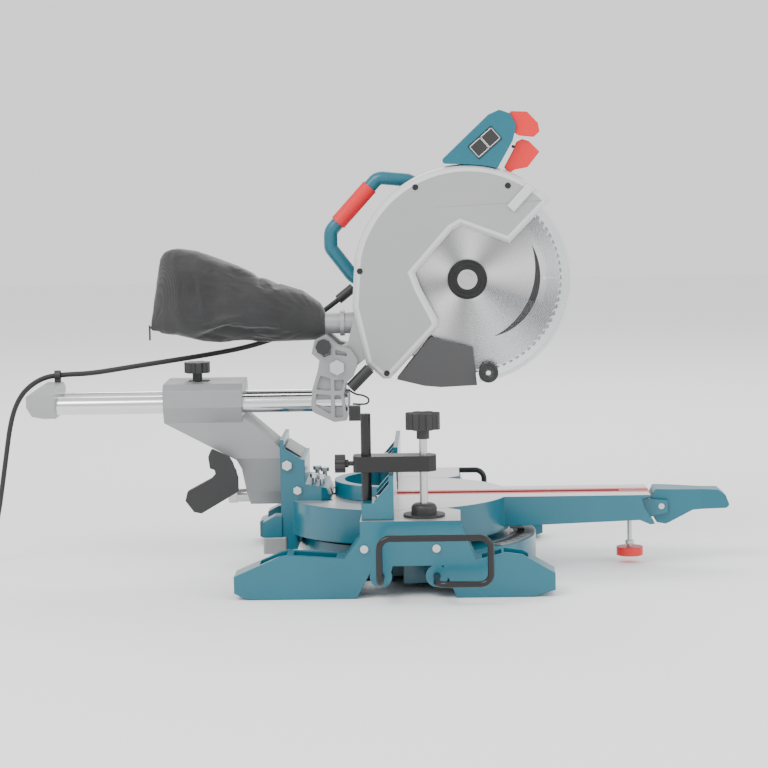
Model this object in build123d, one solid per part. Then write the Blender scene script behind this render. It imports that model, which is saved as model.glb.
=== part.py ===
from build123d import *
import math
import os

# Sliding miter saw, in millimetres. The origin is the miter pivot on the fence line, at bench
# level. +X points to the operator, +Z up, and -Y is the side that the blade's cover faces.

# table and base
table_z = 96.0
disc_r = 147.0
disc_bottom = 52.0
base_half = 235.0
drum_r = 128.0
rim_r = 182.0
skirt_z = 8.0
deck_z = 46.0
base_wall = 7.0
disc_clear = 1.5
foot_width = 45.0
foot_rear_x = 199.0
foot_front_x = 198.0
foot_floor = 10.0
bench_bolt_x = 150.0
bench_bolt_r = 4.5
hub_r = 11.0
fit = 0.05

# fence
fence_top = 151.0
fence_plate = 6.0
fence_half = 225.0
fence_gap = 36.0
flange_top = 117.0
bridge_r = 83.0
bridge_wall = 13.0
bridge_top = 116.0
fence_lift = 0.5

# turntable arm, kerf insert and handle
arm_half = 47.0
arm_low = 56.0
arm_clear = 1.5
miter_limit = 45.0
arm_end = 318.0
insert_half = 18.0
insert_depth = 4.0
insert_end = 331.0
slot_half = 7.0
slot_end = 296.0
handle_half = 24.0
foot_rod_x = arm_end - 12.0
foot_rod_r = 3.0

# bevel arm, rails and slide
bevel_z = table_z
bracket_back = -151.0
bracket_front = -119.0
bracket_half = 58.0
bevel_pin_r = 9.0
neck_gap = 0.8
rail_z = 221.3
rail_y = 28.0
rail_r = 12.0
rail_wall = 3.0
rail_front = -62.0
rail_back = -470.0
house_back = -303.0
house_front = -200.0
house_half = 52.0
house_top = 249.0
house_bottom = 198.0
bush_wall = 3.0
bush_length = 22.0
rail_fit = 0.05

# head pivot, blade and drive
pivot_x = -75.0
pivot_z = 269.0
pivot_pin_r = 7.0
cheek_in = 24.0
cheek_out = 45.0
blade_x = 96.0
blade_z = 378.0
blade_r = 125.0
blade_half = 1.1
teeth = 80
arbor_r = 7.9
flange_r = 26.0
case_r = 150.0
case_wall = 3.0
case_near = -26.0
case_far = 20.0
plate_far = 28.0
guard_r = 135.5
guard_wall = 2.5
guard_y = 15.5
guard_hub_r = 34.0
roller_r = 13.0
roller_arc = 124.0
gear_module = 2.0
pinion_teeth = 13
wheel_teeth = 45
drive_angle = 127.0
gear_y = 36.0
gear_width = 14.0
motor_r = 52.0
motor_wall = 2.5
motor_start = 66.0
motor_end = 196.0

drive_distance = gear_module * (pinion_teeth + wheel_teeth) / 2
motor_x = blade_x + drive_distance * math.cos(math.radians(drive_angle))
motor_z = blade_z + drive_distance * math.sin(math.radians(drive_angle))
wheel_phase = math.radians(drive_angle)
pinion_phase = math.radians(drive_angle + 180) + math.pi / pinion_teeth

# support bars and work clamp
bar_r = 4.0
bar_back = -17.0
bar_front = 118.0
bar_reach = 292.0
bar_low = 27.0
bar_high = 84.0
bar_seat = 152.0
bar_fit = 0.15
bar_boss_r = 13.8
post_x = -34.0
post_y = -195.0
post_r = 6.4
post_top = 225.0
clamp_low = 153.5
clamp_high = 173.0
screw_x = 37.0
screw_r = 5.0
pad_gap = 0.3

# dust bag, carry handle and cords
port_z = 323.0
port_r = 14.0
cord_r = 3.4
lead_r = 1.2
coil_outer = 46.0
coil_inner = 28.2
coil_x = -635.0
coil_y = 50.45
coil_low = 0.4
coil_high = 14.1
plug_x = -664.0
plug_y = 96.4
plug_z = 7.0


def box(x0, x1, y0, y1, z0, z1):
    return Pos((x0 + x1) / 2, (y0 + y1) / 2, (z0 + z1) / 2) * Box(x1 - x0, y1 - y0, z1 - z0)


def rod(start, end, radius):
    span = Vector(*end) - Vector(*start)
    return extrude(Plane(origin=start, z_dir=span) * Circle(radius), span.length)


def tube(start, end, outer, inner):
    return rod(start, end, outer) - rod(start, end, inner)


def loop(points, soft):
    if soft:
        return make_face(FilletPolyline(*points, radius=soft, close=True))
    return make_face(Polyline(*points, close=True))


def side(points, y0, y1, soft=0):
    """An outline of (x, z) points, filled from y0 to y1."""
    plane = Plane(origin=(0, y1, 0), x_dir=(1, 0, 0), z_dir=(0, -1, 0))
    return extrude(plane * loop(points, soft), y1 - y0)


def end(points, x0, x1, soft=0):
    """An outline of (y, z) points, filled from x0 to x1."""
    plane = Plane(origin=(x0, 0, 0), x_dir=(0, 1, 0), z_dir=(1, 0, 0))
    return extrude(plane * loop(points, soft), x1 - x0)


def plan(points, z0, z1, soft=0):
    """An outline of (x, y) points, filled from z0 to z1."""
    return extrude(Plane(origin=(0, 0, z0)) * loop(points, soft), z1 - z0)


def both(shape):
    """The shape and its twin across the blade's plane."""
    return shape + mirror(shape, Plane.XZ)


def hexagon(start, axis, across, length):
    plane = Plane(origin=start, z_dir=axis)
    return extrude(plane * RegularPolygon(across / 2, 6, major_radius=False), length)


def lobed(start, axis, radius, lobes, length):
    """A knob with finger flutes round its rim."""
    plane = Plane(origin=start, z_dir=axis)
    face = Circle(radius)
    for place in PolarLocations(radius * 1.1, lobes):
        face -= place * Circle(radius * 0.26)
    return extrude(plane * face, length)


def polar(radius, degrees, x=0.0, z=0.0):
    turn = math.radians(degrees)
    return x + radius * math.cos(turn), z + radius * math.sin(turn)


def save(name, shape):
    export_step(shape, f"parts/{name}.step")
    print(f"{name}: {len(shape.solids())} solids, {shape.volume / 1000:.1f} cm3")


# ---- base ----

def foot_outline():
    rear, front = -foot_rear_x, foot_front_x
    return [
        (rear, skirt_z), (rear + 18, 0), (-47, 0), (-26, 40), (60, 40), (76, 0),
        (front - 27, 0), (front, skirt_z), (front, 29), (158, 52), (137, 55), (101, 46),
        (82, 90), (82, table_z), (-42, table_z), (-42, 76), (-62, 50), (-131, 55), (-143, 53), (rear, 29),
    ]


def foot_pockets():
    inner, outer = base_half - foot_width + base_wall, base_half - base_wall
    cuts = []
    for x, wide in ((-bench_bolt_x, 34), (bench_bolt_x, 30)):
        cuts.append(box(x - wide / 2, x + wide / 2, -outer, -inner, foot_floor, 70))
        cuts.append(rod((x, -(inner + outer) / 2, -1), (x, -(inner + outer) / 2, foot_floor + 1),
            bench_bolt_r))
    cuts.append(box(-125, -72, -outer, -inner, 18, 70))
    cuts.append(box(108, 132, -outer, -inner, 18, 70))
    cuts.append(box(-36, 76, -outer, -inner - 8, 30, table_z - base_wall))
    return cuts


def base_side():
    inner = base_half - foot_width
    part = side(foot_outline(), -base_half, -inner)
    part += box(-42, 82, -inner - 1, -drum_r, 40, table_z)
    part += plan([(-140, -inner - 5), (-56, -inner - 5), (-50, -90), (-96, -70)], skirt_z, 24)
    part += plan([(84, -inner - 5), (150, -inner - 5), (120, -100), (60, -110)], skirt_z, deck_z - 4)
    for x in (bar_back, bar_front - 66):
        part += rod((x, -base_half, bar_low), (x, -bar_seat + 12, bar_low), bar_boss_r)
    for cut in foot_pockets():
        part -= cut
    return part


def base_casting():
    rim = rod((0, 0, skirt_z), (0, 0, deck_z - 2), rim_r) & box(10, rim_r, -rim_r, rim_r, 0, deck_z)
    rim -= rod((0, 0, 0), (0, 0, deck_z - 9), rim_r - base_wall) & box(24, rim_r, -rim_r, rim_r, -1, deck_z)
    drum = rod((0, 0, skirt_z), (0, 0, deck_z), drum_r)
    part = both(base_side()) + rim + drum
    part -= rod((0, 0, deck_z), (0, 0, table_z + 1), disc_r + disc_clear)
    part -= rod((0, 0, deck_z - 1), (0, 0, deck_z + 2), 34)
    part -= tube((0, 0, 0), (0, 0, deck_z - 8), drum_r - base_wall, 34)
    part -= rod((0, 0, -1), (0, 0, deck_z + 1), hub_r + fit)
    part -= rod((post_x, post_y, table_z - 26), (post_x, post_y, table_z + 1), post_r + 0.1)
    part += both(side([(-26, 22), (-8, 22), (-2, 40), (-32, 40)], -base_half, -base_half + 10))
    half = arm_half + arm_clear
    for turn in (-miter_limit, miter_limit):
        part -= Rot(0, 0, turn) * box(100, 350, -half, half, arm_low - 0.5, table_z + 1)
    for x in (bar_back, bar_front - 66):
        part -= both(rod((x, -base_half - 1, bar_low), (x, -bar_seat, bar_low), bar_r + bar_fit))
    return part


def fence():
    low = table_z + fence_lift
    near = end([(-fence_half, low), (-fence_half, fence_top), (-96, fence_top), (-52, low + 20),
                (-fence_gap, low + 20), (-fence_gap, low)], -fence_plate, 0)
    far = end([(fence_half, low), (fence_half, fence_top), (fence_gap + 8, fence_top),
               (fence_gap, fence_top - 10), (fence_gap, low)], -fence_plate, 0)
    flange = box(-40, -fence_plate + 1, -fence_half, -fence_half + 55, low, flange_top)
    part = near + far + both(flange)
    foot = both(box(-24, -fence_plate + 1, -fence_half, -bridge_r + 4, low, low + 7))
    ring = tube((0, 0, low), (0, 0, bridge_top), bridge_r, bridge_r - bridge_wall)
    ring = ring & box(-bridge_r - 1, -fence_plate + 1, -bridge_r, bridge_r, low - 1, bridge_top + 1)
    part = part + foot + ring
    gusset = [(-fence_plate + 1, low + 3), (-24, low + 3), (-24, fence_top - 32),
        (-fence_plate + 1, fence_top - 10)]
    for y in (-fence_half, -172, -118, 60, 112, 164, fence_half - 7):
        part += side(gusset, y, y + 7)
    part -= rod((post_x, post_y, low - 1), (post_x, post_y, flange_top + 1), post_r + fit)
    for x, y in fence_bolt_places():
        part -= rod((x, y, low - 1), (x, y, low + 30), 3.3)
    return part


def fence_bolt_places():
    return [(-17, 137), (-17, 196), (-17, -150), (-17, -208 + 8)]


def fence_bolts():
    bolts = []
    for x, y in fence_bolt_places():
        top = flange_top if abs(y) > fence_half - 55 else table_z + fence_lift + 7
        bolts.append(rod((x, y, table_z + fence_lift), (x, y, top), 3) + rod((x, y, top), (x, y, top + 6),
            5.5))
    return bolts[0] + bolts[1] + bolts[2] + bolts[3]


def miter_scale():
    low, high = deck_z - 2, deck_z - 0.8
    ring = tube((0, 0, low), (0, 0, high), rim_r - 2, disc_r + 6)
    return ring & plan([(0, 0), (300, -268), (300, 268)], low - 1, high + 1)


def support_bar():
    back, front = bar_back, bar_front - 66
    start = -bar_seat - 4
    outer = -bar_reach
    tray = [(back, start, bar_low), (back, outer, bar_low), (back, outer, bar_high),
        (bar_front, outer, bar_high),
            (bar_front, outer, bar_low), (front, outer, bar_low), (front, start, bar_low)]
    return tray


def bent_bar():
    line = FilletPolyline(*support_bar(), radius=13)
    start = Plane(origin=line @ 0, z_dir=line % 0)
    return sweep(start * Circle(bar_r), path=line)


def bar_screws():
    near = rod((bar_front - 66, -base_half - 3, 62), (bar_front - 66, -base_half, 62), 5)
    near += rod((bar_back - 20, -base_half - 3, 62), (bar_back - 20, -base_half, 62), 5)
    return both(near)


# ---- turntable ----

def bracket_outline():
    return [
        (bracket_back, disc_bottom - 20), (bracket_back, 176), (bracket_back + 5, 176),
            (bracket_back + 5, 164),
        (bracket_front - 4, 150), (bracket_front, 150), (bracket_front, 118), (-92, 112), (-86, 96),
            (-86, 90),
        (-120, 88), (-130.5, 50), (-130.5, 32),
    ]


def turntable():
    part = rod((0, 0, disc_bottom), (0, 0, table_z), disc_r)
    part -= rod((0, 0, disc_bottom - 1), (0, 0, table_z - 9), disc_r - 8)
    part += rod((0, 0, deck_z + 0.6), (0, 0, table_z - 9), 30) + rod((0, 0, 12), (0, 0, table_z - 9), hub_r)
    for turn in range(0, 360, 45):
        part += Rot(0, 0, turn) * box(28, disc_r - 7, -2.5, 2.5, disc_bottom, table_z - 8)
    part += turntable_arm() + handle_ears()
    part += side(bracket_outline(), -bracket_half, bracket_half)
    part += both(side([(-175, 49), (-175, 68), (-160, 76), (-150, 76), (-150, 49)], -60, -32))
    part -= both(plan([(-84, 48.7), (-84, 60), (-101, 60)], 86, 120))
    part -= box(bracket_back + 8, -90, -bracket_half + 8, bracket_half - 8, 104, 160) & side(
        [(-143, 104), (-143, 140), (-122, 140), (-122, 112), (-100, 104)], -60, 60)
    part -= box(-4, insert_end, -insert_half - fit, insert_half + fit, table_z - insert_depth, table_z + 1)
    part -= box(-30, slot_end, -slot_half - 3, slot_half + 3, table_z - 30, table_z + 1)
    part -= rod((-200, 0, bevel_z), (-60, 0, bevel_z), bevel_pin_r + fit)
    part -= rod((foot_rod_x, 0, 0), (foot_rod_x, 0, 90), foot_rod_r + 0.1)
    part -= rod((arm_end + 28, -40, 78), (arm_end + 28, 40, 78), 4)
    for y in (-40, 40):
        part -= rod((bracket_back - 1, y, 132), (bracket_back + 9, y, 132), 3.2)
    return part


def turntable_arm():
    shape = [(120, 56), (120, table_z), (arm_end + 12, table_z), (arm_end + 12, table_z - 3),
        (arm_end + 1, 91),
             (arm_end + 4, 80), (arm_end + 14, 63), (arm_end + 18, 58), (arm_end + 12, 57),
                 (arm_end - 2, 63)]
    part = side(shape, -arm_half, arm_half)
    hollow = [(150, 50), (150, table_z - 12), (arm_end - 26, table_z - 12), (arm_end - 26, 50)]
    return part - side(hollow, -arm_half + 7, arm_half - 7)


def kerf_insert():
    part = box(-3, insert_end, -insert_half, insert_half, table_z - insert_depth, table_z)
    part -= box(-20, slot_end - 4, -slot_half, slot_half, table_z - 10, table_z + 1)
    for x in (20, 110, 200, 312):
        for y in (-12.5, 12.5):
            part -= rod((x, y, table_z - 1.5), (x, y, table_z + 1), 3)
    return part


def insert_screws():
    part = None
    for x in (20, 110, 200, 312):
        for y in (-12.5, 12.5):
            screw = rod((x, y, table_z - 1.5), (x, y, table_z - 0.2), 2.9)
            part = screw if part is None else part + screw
    return part


def miter_handle():
    shape = [(arm_end + 22, 56), (arm_end + 16, 66), (arm_end + 8, 80), (arm_end + 15, 90),
        (arm_end + 20, 100),
             (422, 97), (431, 90), (436, 77), (432, 73), (388, 71), (352, 54)]
    part = side(shape, -handle_half, handle_half, 3)
    taper = plan([(arm_end, -24), (arm_end + 40, -24), (400, -15), (440, -19), (440, 19), (400, 15),
                  (arm_end + 40, 24), (arm_end, 24)], 40, 120, 5)
    part = part & taper
    return part - rod((arm_end + 28, -40, 78), (arm_end + 28, 40, 78), 4 + fit)


def handle_pin():
    x = arm_end + 28
    return rod((x, -29.5, 78), (x, 29.5, 78), 4)


def handle_ears():
    x = arm_end + 28
    ear = side([(arm_end - 6, 66), (arm_end + 4, 62), (x + 8, 70), (x + 8, 86), (arm_end - 6, 90)], -30,
        -25)
    return both(ear - rod((x, -40, 78), (x, 0, 78), 4))


def front_foot():
    x = foot_rod_x
    part = rod((x, 0, 20), (x, 0, 82), foot_rod_r)
    part += hexagon((x, 0, 24), (0, 0, 1), 10, 5)
    pad = rod((x, 0, 9.5), (x, 0, 20.5), 17.5)
    return part + (pad - rod((x, 0, 20), (x, 0, 21), foot_rod_r))


def bevel_scale():
    top = [(bracket_back + 7, 164.6), (bracket_front - 5, 151.4), (bracket_front - 5, 152.6),
        (bracket_back + 7, 165.8)]
    return side(top, -44, 44)


def stop_bolts():
    part = None
    for y in (-36, 36):
        for x, z in ((-108, 116.5), (-98, 114.3)):
            bolt = rod((x, y, z), (x, y, z + 10), 3) + hexagon((x, y, z + 7), (0, 0, 1), 10, 5)
            part = bolt if part is None else part + bolt
    for y in (-bracket_half - 5, bracket_half):
        part += hexagon((bracket_back + 9, y, 143), (0, 1, 0), 12, 5)
        part += hexagon((bracket_front - 10, y, 110), (0, 1, 0), 10, 5)
    return part


def pointer():
    part = side([(disc_r + 1, deck_z + 1), (disc_r + 20, deck_z + 1), (disc_r + 20, deck_z + 2.2),
                 (disc_r + 8, deck_z + 2.2), (disc_r + 8, 57), (disc_r + 1, 57)], -5, 5)
    return part


# ---- bevel arm ----

def bevel_arm():
    half, low, top = house_half, house_bottom, house_top
    shape = [(-half, 219), (-half, top - 8), (-half + 9, top), (half - 9, top), (half, top - 8),
        (half, 219),
             (half - 11, low), (-half + 11, low)]
    house = end(shape, house_back, house_front)
    neck = side([(house_back, low + 8), (house_back, low), (-239, 164), (-209, 148), (-203, 136),
        (-198, 104),
                 (-194, 86), (bracket_back - neck_gap, 86), (bracket_back - neck_gap, 164),
                     (house_front, low + 8)],
                -house_half, house_half)
    taper = end([(-41, low + 8), (-41, 150), (-26, 104), (-15, 86), (15, 86), (26, 104), (41, 150),
        (41, low + 8)],
                -320, -140)
    part = house + (neck & taper)
    part -= side([(-226, 190), (-196, 166), (-180, 120), (-168, 120), (-166, 166), (-200, 190)], 10, 60)
    for y in (-rail_y, rail_y):
        part -= rod((house_back - 1, y, rail_z), (house_front + 1, y, rail_z), rail_r + bush_wall)
    part += lever_post()
    part -= rod((-220, 0, bevel_z), (-140, 0, bevel_z), bevel_pin_r + fit)
    part -= box(-274, -246, -14, 14, top - 3, top + 1)
    return part - rod((-262, 0, 235), (-262, 0, top), 4.1)


def slide_bushes():
    part = None
    for y in (-rail_y, rail_y):
        for x in (house_back, house_front - bush_length):
            bush = tube((x, y, rail_z), (x + bush_length, y, rail_z), rail_r + bush_wall, rail_r + rail_fit)
            part = bush if part is None else part + bush
    return part


def bevel_pin():
    part = rod((-212, 0, bevel_z), (-100, 0, bevel_z), bevel_pin_r)
    return part + hexagon((-224, 0, bevel_z), (1, 0, 0), 0.1 + bevel_pin_r * 2, 12)


def bevel_lever():
    shape = [(-240, 166), (-244, 156), (-242, 141), (-236, 139), (-235, 134), (-240, 128), (-272, 111),
             (-275, 99), (-264, 84), (-254, 82), (-206, 110), (-206, 128), (-213, 148), (-217, 155)]
    blade = side(shape, -66, -54, 2)
    return blade + rod((-218, -54, 130), (-218, -46.5, 130), 9)


def lever_post():
    return rod((-218, -46, 130), (-218, -20, 130), 7) & side([(-225, 123), (-225, 137), (-206, 137),
        (-206, 123)], -46, -20)


def rail_knob():
    part = lobed((-262, 0, 260), (0, 0, 1), 17, 7, 14)
    part += rod((-262, 0, house_top), (-262, 0, 260), 6.5)
    return part + rod((-262, 0, 236), (-262, 0, house_top), 4)


# ---- slide frame ----

def rail(y):
    return tube((rail_back, y, rail_z), (rail_front, y, rail_z), rail_r, rail_r - rail_wall)


def end_cap():
    shape = [(-50, 222), (-50, 239), (-34, 247), (34, 247), (50, 239), (50, 222), (41, 206), (-41, 206)]
    part = end(shape, -482, -445)
    part = part & side([(-482, 222), (-482, 236), (-466, 247), (-445, 247), (-445, 206), (-462, 206),
        (-476, 209)], -60, 60)
    for y in (-rail_y, rail_y):
        part -= rod((rail_back, y, rail_z), (-440, y, rail_z), rail_r)
    return part


def cord_clip():
    y = 30.0
    ring = tube((-456, y, 256.4), (-448, y, 256.4), cord_r + 3, cord_r + 0.9)
    return ring + box(-456, -448, y - 4, y + 4, 247, 251)


def bracket_shape():
    return [(-89, 311), (-74, 297), (-57, 292), (-48, 277), (-51, 265), (-54, 257), (-64, 248),
        (-67, 235), (-65, 215),
            (-63, 199), (-80, 197), (-107, 210), (-110, 217), (-108, 240), (-100, 266), (-98, 278),
                (-108, 287), (-104, 304)]


def arm_bracket():
    part = side(bracket_shape(), -cheek_out, cheek_out, 2)
    part -= box(-130, -30, -cheek_in, cheek_in, 236, 330)
    part -= rod((pivot_x, -cheek_in, pivot_z), (pivot_x, cheek_in, pivot_z), 40)
    for y in (-rail_y, rail_y):
        part -= rod((-120, y, rail_z), (rail_front, y, rail_z), rail_r)
    part -= rod((pivot_x, -60, pivot_z), (pivot_x, 60, pivot_z), pivot_pin_r)
    for shape in bracket_pockets():
        part -= both(side(shape, -cheek_out - 1, -cheek_out + 6, 1.5))
    return part - rod((-92, -60, 296), (-92, 0, 296), 4.1)


def bracket_pockets():
    return [
        [(-103, 240), (-97, 258), (-84, 254), (-84, 238)],
        [(-79, 238), (-79, 252), (-66, 252), (-70, 238)],
        [(-104, 219), (-103, 234), (-84, 232), (-84, 207)],
        [(-79, 203), (-79, 232), (-71, 232), (-69, 217), (-68, 203)],
        [(-92, 282), (-97, 288), (-84, 294), (-82, 286)],
        [(-77, 285), (-77, 292), (-62, 287), (-62, 283)],
    ]


def pivot_pin():
    part = rod((pivot_x, -cheek_out - 4, pivot_z), (pivot_x, cheek_out + 4, pivot_z), pivot_pin_r)
    part += hexagon((pivot_x, -cheek_out - 7, pivot_z), (0, 1, 0), 18, 7)
    return part + hexagon((pivot_x, cheek_out, pivot_z), (0, 1, 0), 18, 7)


def lock_pin():
    part = rod((-92, -cheek_out - 2, 296), (-92, -cheek_in + 8, 296), 4)
    plane = Plane(origin=(-92, -cheek_out - 2, 296), z_dir=(0, -1, 0))
    return part + extrude(plane * RegularPolygon(10.3, 8), 9)


def work_light():
    start, stop = (-33, -40, 266), (-58, -40, 241)
    return rod(start, stop, 7.5)


def lamp_block():
    part = box(-61, -46, -44, -30, 198, 217) - side(bracket_shape(), -60, 60, 2)
    return part


def lead_points():
    return [(-60.8, -37, 238.2), (-53, -37, 232), (-42, -37, 231), (-34, -37, 226), (-36, -37, 219.5),
        (-46, -37, 218.8),
            (-56, -37, 219.6)]


# ---- head ----

def case_arc(radius, start, stop):
    points = [polar(radius, a, blade_x, blade_z) for a in (start, (start + stop) / 2, stop)]
    return ThreePointArc(*points)


def case_outline(shrink=0.0):
    """The cover's outer edge, drawn as (x, z), inset by shrink."""
    radius = case_r - shrink
    first, last = 168.0, 43.0
    arc = case_arc(radius, first, last)
    s = shrink
    low = [polar(radius, last, blade_x, blade_z), (blade_x + 54 - s, blade_z + 47),
        (blade_x + 20, blade_z - 10),
           (57 - s, 317 + s), (-7 - s / 2, 250 + s), (-16, 250 + s), (-38 + s, 270 + s / 2), (-55 + s, 345),
           polar(radius, first, blade_x, blade_z)]
    return make_face(arc + Polyline(*low))


def case_opening():
    return [(151 + 60, 425 + 68), (151, 425), (88, 449), (77, 443), (28, 388), (35, 369), (57, 326),
        (57, 290), (320, 290), (320, 493)]


def fill(face, y0, y1):
    plane = Plane(origin=(0, y1, 0), x_dir=(1, 0, 0), z_dir=(0, -1, 0))
    return extrude(plane * face, y1 - y0)


def blade_case():
    part = fill(case_outline(), case_near, case_far)
    part -= fill(case_outline(case_wall), case_near + case_wall, case_far + 1)
    part -= side(case_opening(), case_near - 1, case_near + case_wall + 1)
    part -= tube((blade_x, case_near + case_wall, blade_z), (blade_x, case_far + 1, blade_z), guard_r + 2,
        1)
    part -= side([(50, 312), (-2, 249), (60, 180), (320, 180), (320, 380), (110, 360)],
        case_near + case_wall, case_far + 1)
    part -= rod((-70, 0, port_z), (-30, 0, port_z), port_r)
    part -= side(head_arm(), -20.4, case_far + 1)
    for x, z in case_screw_places():
        part -= rod((x, case_near - 1, z), (x, case_near + 1.5, z), 4)
    return part


def case_screw_places():
    return [(-11, 258), (-44, 392), (30, 500), (150, 500)]


def case_screws():
    part = None
    for x, z in case_screw_places():
        screw = rod((x, case_near - 0.8, z), (x, case_near + 1.5, z), 3.9)
        part = screw if part is None else part + screw
    return part


def head_arm():
    return [(-92, 258), (-92, 280), (-80, 289), (-62, 296), (-50, 345), (-34, 345), (-34, 285),
        (-40, 276), (-58, 262), (-75, 253)]


def gear_head():
    part = fill(case_outline(), case_far, plate_far)
    lug = side(head_arm(), -20, case_far + 1)
    part += lug + rod((pivot_x, -cheek_in + 1, pivot_z), (pivot_x, cheek_in - 1, pivot_z), 20)
    part -= rod((pivot_x, -60, pivot_z), (pivot_x, 60, pivot_z), pivot_pin_r + fit)
    part -= side([(-130, 240), (-130, 330), (-42, 316), (-30, 262), (-40, 240)], cheek_in - 1,
        plate_far + 1)
    part -= rod((-120, 0, port_z), (-20, 0, port_z), port_r)
    housing = rod((blade_x, plate_far, blade_z), (blade_x, motor_start - 6, blade_z), 56)
    housing += rod((motor_x, plate_far, motor_z), (motor_x, motor_start, motor_z), motor_r)
    inner = rod((blade_x, plate_far, blade_z), (blade_x, motor_start - 14, blade_z), 50)
    inner += rod((motor_x, plate_far, motor_z), (motor_x, motor_start - 10, motor_z), 20)
    part += housing - inner
    part -= rod((blade_x, case_far - 1, blade_z), (blade_x, plate_far + 1, blade_z), 18)
    part += tube((blade_x, case_far - 8, blade_z), (blade_x, plate_far, blade_z), guard_hub_r - 6, 18)
    part -= rod((blade_x, motor_start - 15, blade_z), (blade_x, motor_start - 8, blade_z), 13)
    return part - rod((motor_x, motor_start - 11, motor_z), (motor_x, motor_start + 1, motor_z), 13)


def ring_set(places, inner):
    part = None
    for x, z, y0, y1, outer in places:
        ring = tube((x, y0, z), (x, y1, z), outer, inner)
        part = ring if part is None else part + ring
    return part


def bearings():
    return ring_set([(blade_x, blade_z, case_far - 2, plate_far, 18),
        (blade_x, blade_z, motor_start - 14, motor_start - 8, 13),
                     (motor_x, motor_z, motor_start - 9, motor_start - 1, 13)], arbor_r + fit)


def dust_chute():
    shape = [(46, 304), (102, 288), (107, 240), (60, 238), (38, 240), (2, 249)]
    part = side(shape, -20, 19.5)
    part -= rod((blade_x, -3.5, blade_z), (blade_x, 3.5, blade_z), blade_r + 3.5)
    inner = side([(44, 298), (96, 284), (101, 246), (40, 246), (10, 252)], -17, 16.5)
    part -= inner & rod((blade_x, -30, blade_z), (blade_x, 30, blade_z), blade_r + 3.5)
    return part


def handle_shape():
    return [(60, 530), (126, 592), (140, 598), (154, 593), (162, 578), (157, 558), (136, 521), (100, 528)]


def handle_shell():
    outer = side(handle_shape(), -25, 25, 4) - rod((blade_x, -40, blade_z), (blade_x, 40, blade_z), case_r)
    outer -= side([(86, 545), (128, 584), (140, 589), (150, 584), (154, 576), (148, 556), (130, 530)],
        -21, 21, 2)
    outer -= panel_block(-26, -19.5)
    return outer - box(140, 170, -14, 14, 520, 562)


def panel_block(y0, y1):
    tilt = math.radians(41)
    along = (math.cos(tilt), math.sin(tilt))
    across = (-math.sin(tilt), math.cos(tilt))
    centre = (121, 556)
    corners = []
    for a, b in ((-20, -11), (20, -11), (20, 11), (-20, 11)):
        corners.append((centre[0] + a * along[0] + b * across[0], centre[1] + a * along[1] + b * across[1]))
    return side(corners, y0, y1)


def switch_tile(offset, y0, y1, half):
    tilt = math.radians(41)
    x, z = 121 + offset * math.cos(tilt), 556 + offset * math.sin(tilt)
    plane = Plane(origin=(x, y1, z), x_dir=(math.cos(tilt), 0, math.sin(tilt)), z_dir=(0, -1, 0))
    return extrude(plane * Rectangle(2 * half, 2 * half), y1 - y0)


def switch_panel():
    part = panel_block(-26, -19.5)
    for offset in (-9.6, 9.6):
        part -= switch_tile(offset, -27, -20.8, 7.6 + 0.3)
    return part


def rear_grip():
    shape = [(150, 584), (155, 596), (176, 595), (190, 580), (192, 569), (184, 562), (166, 564), (160, 568)]
    return side(shape, -21, 21, 3) - side(handle_shape(), -30, 30, 4)


def trigger():
    shape = [(162.5, 556), (170, 559.5), (178, 557), (192, 543), (176, 523), (159, 520), (152, 515),
        (146, 523), (158, 545)]
    part = side(shape, -12, 12, 2) - rod((blade_x, -40, blade_z), (blade_x, 40, blade_z), case_r + 0.6)
    part -= side([(60, 530), (126, 592), (140, 598), (154, 593), (163, 578), (158.4, 557), (137, 520),
        (100, 528)], -40, 40, 4) - box(
        140.5, 170, -13.5, 13.5, 520, 561)
    return part - rod((158, -30, 550), (158, 30, 550), 2 + fit)


def trigger_pin():
    return rod((158, -14, 550), (158, 14, 550), 2)


def carry_line():
    y = 34.0
    return [(52, y, 490), (20, y, 508), (-20, y, 512), (-84, y, 442), (-84, y, 420), (-57, y, 384),
        (-30, y, 366)]


def carry_handle():
    line = FilletPolyline(*carry_line(), radius=[12, 14, 16, 10, 12])
    part = sweep(Plane(origin=line @ 0, z_dir=line % 0) * Circle(9), path=line)
    return part - fill(case_outline(), case_far, plate_far) - rod((motor_x, plate_far, motor_z),
        (motor_x, 80, motor_z), motor_r)


def carry_grip():
    top, low = Vector(*carry_line()[2]), Vector(*carry_line()[3])
    start, stop = top + (low - top) * 0.17, top + (low - top) * 0.84
    return rod(start, stop, 10.8) - rod(start, stop, 9.02)


def motor_housing():
    part = tube((motor_x, motor_start, motor_z), (motor_x, motor_end, motor_z), motor_r,
        motor_r - motor_wall)
    return part


def motor_cap():
    part = rod((motor_x, motor_end, motor_z), (motor_x, motor_end + 16, motor_z), motor_r)
    part = fillet(part.edges().group_by(Axis.Y)[-1], 10)
    part -= rod((motor_x, motor_end - 1, motor_z), (motor_x, motor_end + 12, motor_z), motor_r - 12)
    part += tube((motor_x, motor_end, motor_z), (motor_x, motor_end + 13, motor_z), 16, arbor_r + fit)
    for turn in range(0, 360, 30):
        x, z = polar(33, turn, motor_x, motor_z)
        part -= rod((x, motor_end + 8, z), (x, motor_end + 20, z), 4)
    return part


def stator():
    y0, y1 = motor_start + 24, motor_end - 30
    part = tube((motor_x, y0, motor_z), (motor_x, y1, motor_z), motor_r - motor_wall, 31)
    return part


def dust_port():
    part = tube((-94, 0, port_z), (-36, 0, port_z), port_r, port_r - 2)
    return part + tube((-72, 0, port_z), (-66, 0, port_z), port_r + 3, port_r)


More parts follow.
